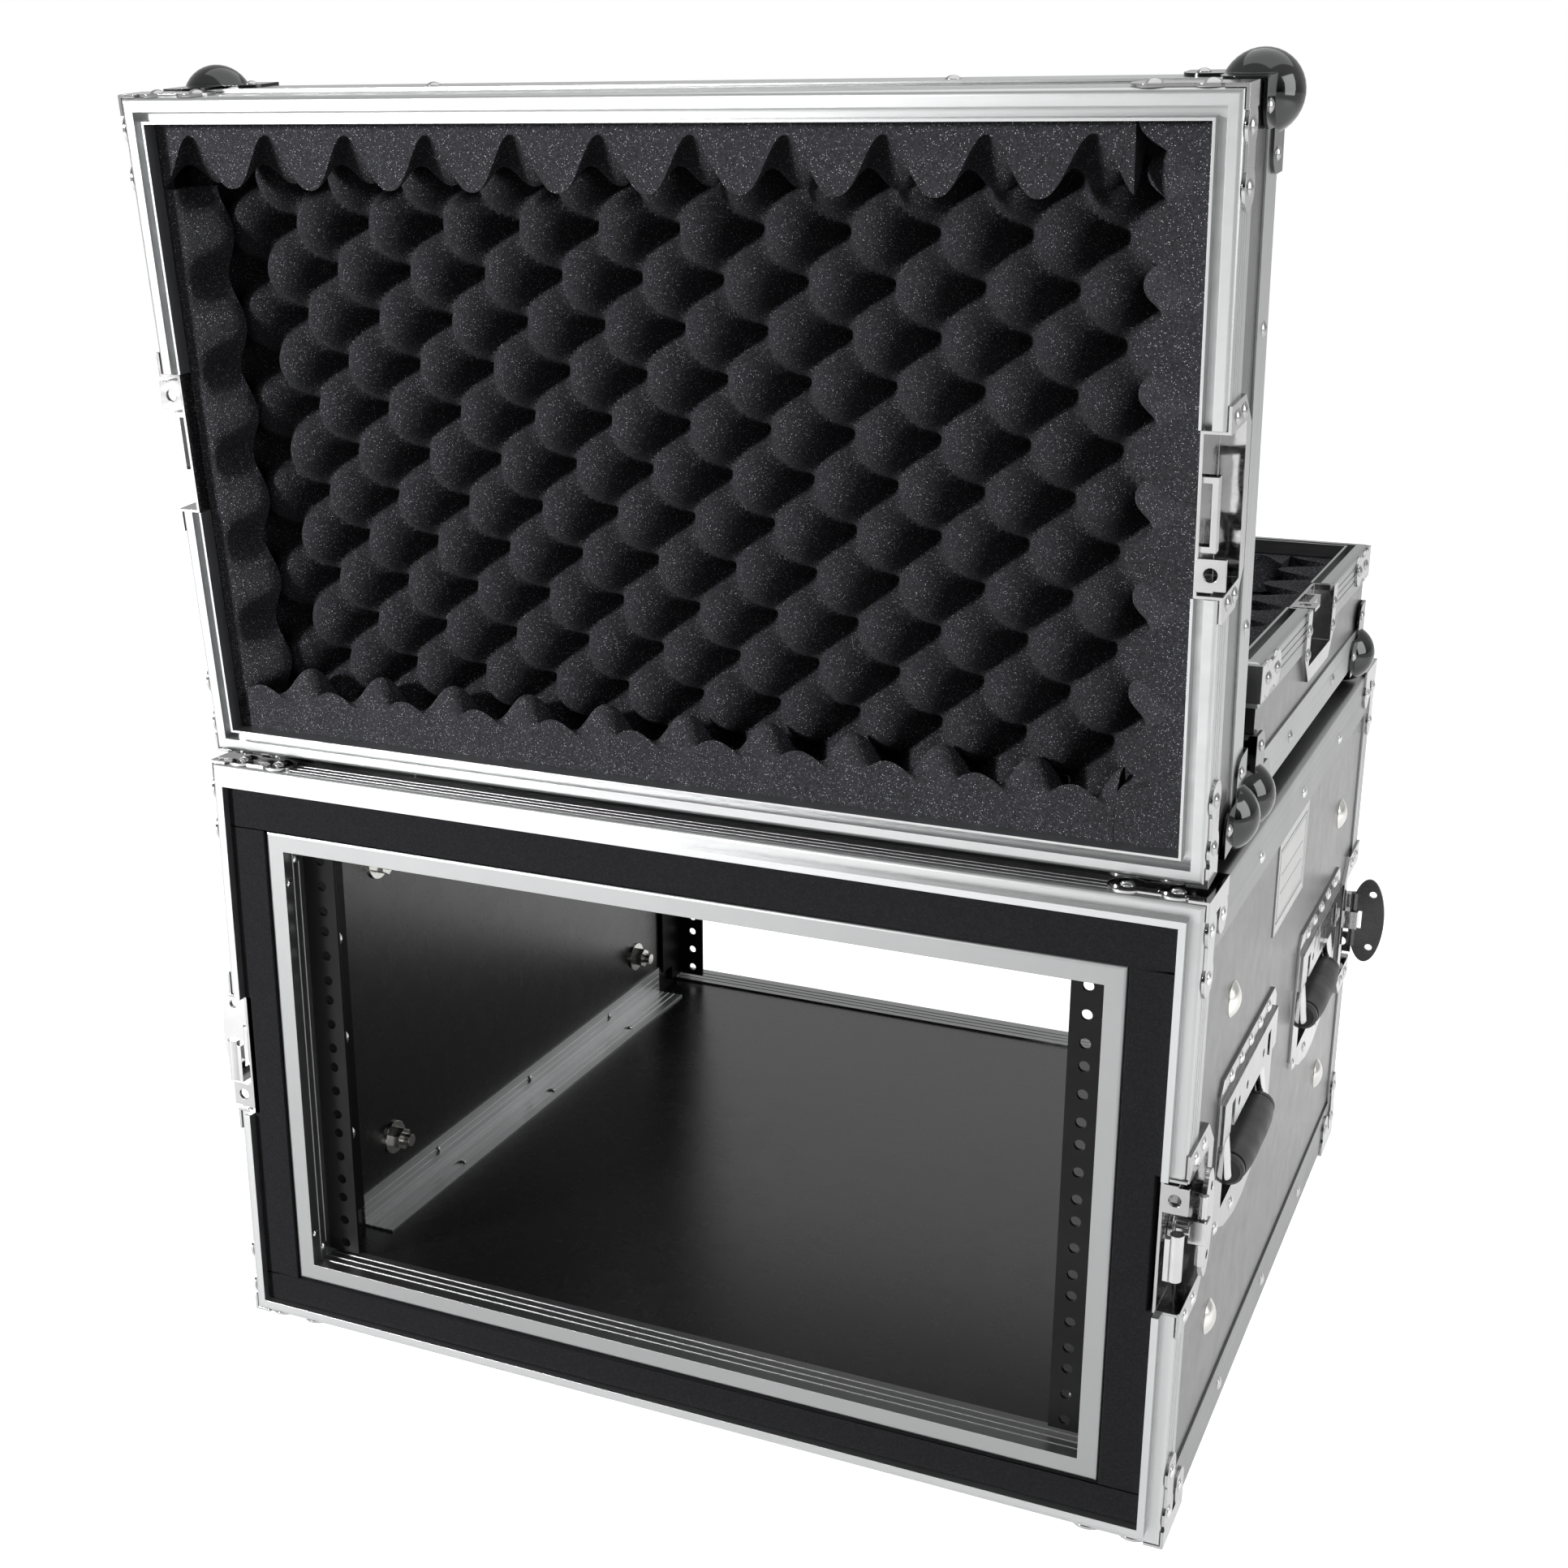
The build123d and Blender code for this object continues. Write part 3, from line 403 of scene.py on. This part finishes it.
KNOB_BLEND = 11              # higher makes a sharper valley between knobs
RAMP = 8.0


def unevenness(u, v):
    """Irregularity of the cut."""
    return 0.035 * noise.noise(Vector((u * 1.5, v * 1.6, 0.0)))


def crate(u, v):
    """Height of a cut wave, 0 in a pit to 1 on a crest, at (u, v) in whole waves."""
    wave = math.cos(2 * math.pi * u) * math.cos(2 * math.pi * v)
    return max(0.0, min(1.0, 1 - ((1 - wave) / 2) ** 1.25 + unevenness(u, v)))


def knobs(u, v):
    """Height of staggered round knobs, 0 in a pit to 1 on a knob, at (u, v) in whole waves."""
    du, dv = abs(u - round(u)), abs(v - round(v))
    domes = [1 - (2 * math.hypot(*offset)) ** KNOB_STEEP for offset in ((du, dv), (0.5 - du, 0.5 - dv))]
    height = math.log(sum(math.exp(KNOB_BLEND * dome) for dome in domes)) / KNOB_BLEND
    return max(0.0, min(1.0, height - 0.03 + unevenness(u, v)))


def foam_pad(place):
    """Back pad of a lid."""
    z0, z1 = PAD_Z

    def top(u, v):
        x, z = PAD_HALF * (2 * u - 1), z0 + (z1 - z0) * v
        height = knobs(x / PAD_PITCH[0], (z - PAD_ROW) / PAD_PITCH[1])
        return place @ (Vector((x, PAD_BACK - PAD_THICK + KNOB_RISE * (1 - height), z)) * MM)

    def base(u, v):
        return place @ (Vector((PAD_HALF * (2 * u - 1), PAD_BACK, z0 + (z1 - z0) * v)) * MM)

    return slab("pad", *PAD_STEPS, top, base)


def foam_strip(place, start, along, inward, length, phase, skew, taper, shut=0.0):
    """Wall strip from start: along is its length, inward its thickness, shut its uncut end."""
    steps = round(length / STRIP_STEP)

    def top(u, v):
        reach, deep = length * u, STRIP_DEEP * v
        height = crate((reach + phase) / STRIP_PITCH, deep / PAD_PITCH[1] + skew)
        height *= min(1.0, (deep + FACE) / taper) ** 0.7
        height = max(height, min(1.0, (shut - reach) / RAMP))
        thick = inward * (STRIP_LOW + STRIP_RISE * height)
        return place @ ((start + along * reach + thick + Vector((0, deep, 0))) * MM)

    def base(u, v):
        return place @ ((start + along * (length * u) + Vector((0, STRIP_DEEP * v, 0))) * MM)

    return slab("strip", steps, STRIP_ROWS, top, base)


def join(name, meshes):
    """One mesh of several, which are removed."""
    form = bmesh.new()
    for mesh in meshes:
        form.from_mesh(mesh)
        bpy.data.meshes.remove(mesh)
    mesh = bpy.data.meshes.new(name)
    form.to_mesh(mesh)
    form.free()
    return mesh


def line_lid(lid, place):
    """Convoluted foam pad and wall strips of a lid; the top strip covers the left strip's end."""
    # The pad takes the darker foam copy: painted shade.
    pad = add_object(f"{lid}_egg_crate_pad", foam_pad(place), PAD_FOAM, lid)
    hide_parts(f"{lid}_back_foam")
    low, high = STRIP_Z
    bottom_left, top_left = Vector((-STRIP_X, STRIP_FRONT, low)), Vector((-STRIP_X, STRIP_FRONT, high))
    bottom_right = Vector((STRIP_X, STRIP_FRONT, low))
    crest = STRIP_LOW + STRIP_RISE
    up, right = Vector((0, 0, 1)), Vector((1, 0, 0))
    side, reach = high - low, 2 * STRIP_X - crest - STRIP_GAP
    strips = [
        foam_strip(place, bottom_right, up, -right, side, 0.0, 0.06, FACE, shut=36.0),
        foam_strip(place, bottom_left, up, right, side - crest - STRIP_GAP, 34.0, 0.3, STRIP_DEEP),
        foam_strip(place, top_left, right, -up, reach, 2.9, 0.0, FACE),
        foam_strip(place, bottom_left, right, up, reach, 30.0, 0.18, FACE),
    ]
    strip = add_object(f"{lid}_wall_strips", join("strips", strips), CHARCOAL, lid)
    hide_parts(f"{lid}_side_foam")


def gap_foam():
    """Foam strips round the sleeve, with softened edges."""
    form = bmesh.new()
    form.from_mesh(nodes["gap_foam_strips"].data)
    bmesh.ops.remove_doubles(form, verts=form.verts, dist=1e-6)
    bmesh.ops.dissolve_limit(form, angle_limit=0.02, verts=form.verts, edges=form.edges)
    sharp = [edge for edge in form.edges if edge.calc_face_angle(0) > 0.5]
    bmesh.ops.bevel(form, geom=sharp, offset=0.0007, segments=2, affect="EDGES", profile=0.5)
    mesh = bpy.data.meshes.new("gap_foam")
    form.to_mesh(mesh)
    form.free()
    piece = add_object("gap_foam_strips_soft", mesh, BLACK_FOAM, "case")
    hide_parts("gap_foam_strips")


# ---- room, light and camera ----
FLOOR_REACH = 40.0
FLOOR_GLOW = (0.42, 0.72)    # seen by other rays, and by the camera


def make_floor():
    """Pale floor that runs out to a white ground."""
    mesh = bpy.data.meshes.new("floor")
    corners = [(x * FLOOR_REACH, y * FLOOR_REACH, 0) for x, y in ((-1, -1), (1, -1), (1, 1), (-1, 1))]
    mesh.from_pydata(corners, [], [(0, 1, 2, 3)])
    floor = bpy.data.objects.new("floor", mesh)
    bpy.context.scene.collection.objects.link(floor)
    look = Look("pale_floor", Roughness=0.7, Emission_Color=(1, 1, 1, 1))
    seen = look.add("ShaderNodeLightPath").outputs["Is Camera Ray"]
    look.set("Emission Strength", look.remap(seen, 0, 1, *FLOOR_GLOW))
    look.set("Base Color", look.ramp(look.noise(2, 2), (0.3, 0.92), (0.7, 0.94)))
    mesh.materials.append(look.material)
    floor.visible_diffuse = False


def area_light(name, place, aim, size, power):
    """Soft box that faces a point."""
    data = bpy.data.lights.new(name, "AREA")
    data.shape = "RECTANGLE"
    data.size, data.size_y = size
    data.energy = power
    light = bpy.data.objects.new(name, data)
    light.location = place
    light.rotation_euler = (Vector(aim) - Vector(place)).to_track_quat("-Z", "Y").to_euler()
    bpy.context.scene.collection.objects.link(light)


def gradient(tree, slope, low, high, dim, bright):
    """Background whose strength rises from dim to bright along slope."""
    background = tree.nodes.new("ShaderNodeBackground")
    direction = tree.nodes.new("ShaderNodeTexCoord")
    along = tree.nodes.new("ShaderNodeVectorMath")
    along.operation = "DOT_PRODUCT"
    along.inputs[1].default_value = slope
    level = tree.nodes.new("ShaderNodeMapRange")
    for key, value in (("From Min", low), ("From Max", high), ("To Min", dim), ("To Max", bright)):
        level.inputs[key].default_value = value
    tree.links.new(direction.outputs["Generated"], along.inputs[0])
    tree.links.new(along.outputs["Value"], level.inputs["Value"])
    tree.links.new(level.outputs["Result"], background.inputs["Strength"])
    return background.outputs["Background"]


def make_world():
    """White for the camera; a bright ceiling and rear in reflections; its own diffuse light."""
    world = bpy.data.worlds.new("studio")
    bpy.context.scene.world = world
    world.use_nodes = True
    tree = world.node_tree
    backdrop = tree.nodes["Background"]
    backdrop.inputs["Color"].default_value = (1, 1, 1, 1)
    backdrop.inputs["Strength"].default_value = 1.0
    room = gradient(tree, (-0.15, 0.8, 1.3), -0.5, 0.8, 0.04, 0.75)
    ambient = gradient(tree, (-0.3, -0.5, 0.8), -0.2, 1.0, 0.02, 0.5)
    path = tree.nodes.new("ShaderNodeLightPath")
    mixed = room
    for ray, shader in (("Is Diffuse Ray", ambient), ("Is Camera Ray", backdrop.outputs["Background"])):
        pick = tree.nodes.new("ShaderNodeMixShader")
        tree.links.new(path.outputs[ray], pick.inputs[0])
        tree.links.new(mixed, pick.inputs[1])
        tree.links.new(shader, pick.inputs[2])
        mixed = pick.outputs["Shader"]
    tree.links.new(mixed, tree.nodes["World Output"].inputs["Surface"])
    bpy.context.scene.view_settings.view_transform = "Standard"


CAMERA_AT = (0.4728, -1.2024, 0.7111)
CAMERA_AZIMUTH = math.radians(24.17)
CAMERA_DOWN = math.radians(18.35)
SENSOR = 36.0
LENS = 47.6
SHIFT = (0.0212, 0.0280)


def make_camera():
    """Camera at the case's right front, looking down."""
    data = bpy.data.cameras.new("camera")
    data.sensor_width = SENSOR
    data.lens = LENS
    data.shift_x, data.shift_y = SHIFT
    camera = bpy.data.objects.new("camera", data)
    camera.location = CAMERA_AT
    level = math.cos(CAMERA_DOWN)
    aim = Vector((-math.sin(CAMERA_AZIMUTH) * level, math.cos(CAMERA_AZIMUTH) * level, -math.sin(CAMERA_DOWN)))
    camera.rotation_euler = aim.to_track_quat("-Z", "Y").to_euler()
    bpy.context.scene.collection.objects.link(camera)
    bpy.context.scene.camera = camera


# where the lids rest on the body
STANDING = Matrix.Translation((-0.004, -0.258, 0.3702)) @ Matrix.Rotation(math.radians(5.5), 4, "X")
LYING = Matrix.Translation((-0.004, -0.153, 0.4569)) @ Matrix.Rotation(math.radians(-90), 4, "X")

finish_cad()
line_lid("standing_lid", STANDING)
line_lid("lying_lid", LYING)
gap_foam()
make_floor()
area_light("key", (-1.6, -2.25, 1.08), (0, -0.2, 0.5), (0.45, 0.45), 92)
area_light("fill", (2.4, -0.2, 1.2), (0, 0, 0.3), (1.4, 1.6), 28)
area_light("top", (0.2, 0.6, 2.8), (0, 0, 0), (3.0, 3.0), 30)
make_world()
make_camera()
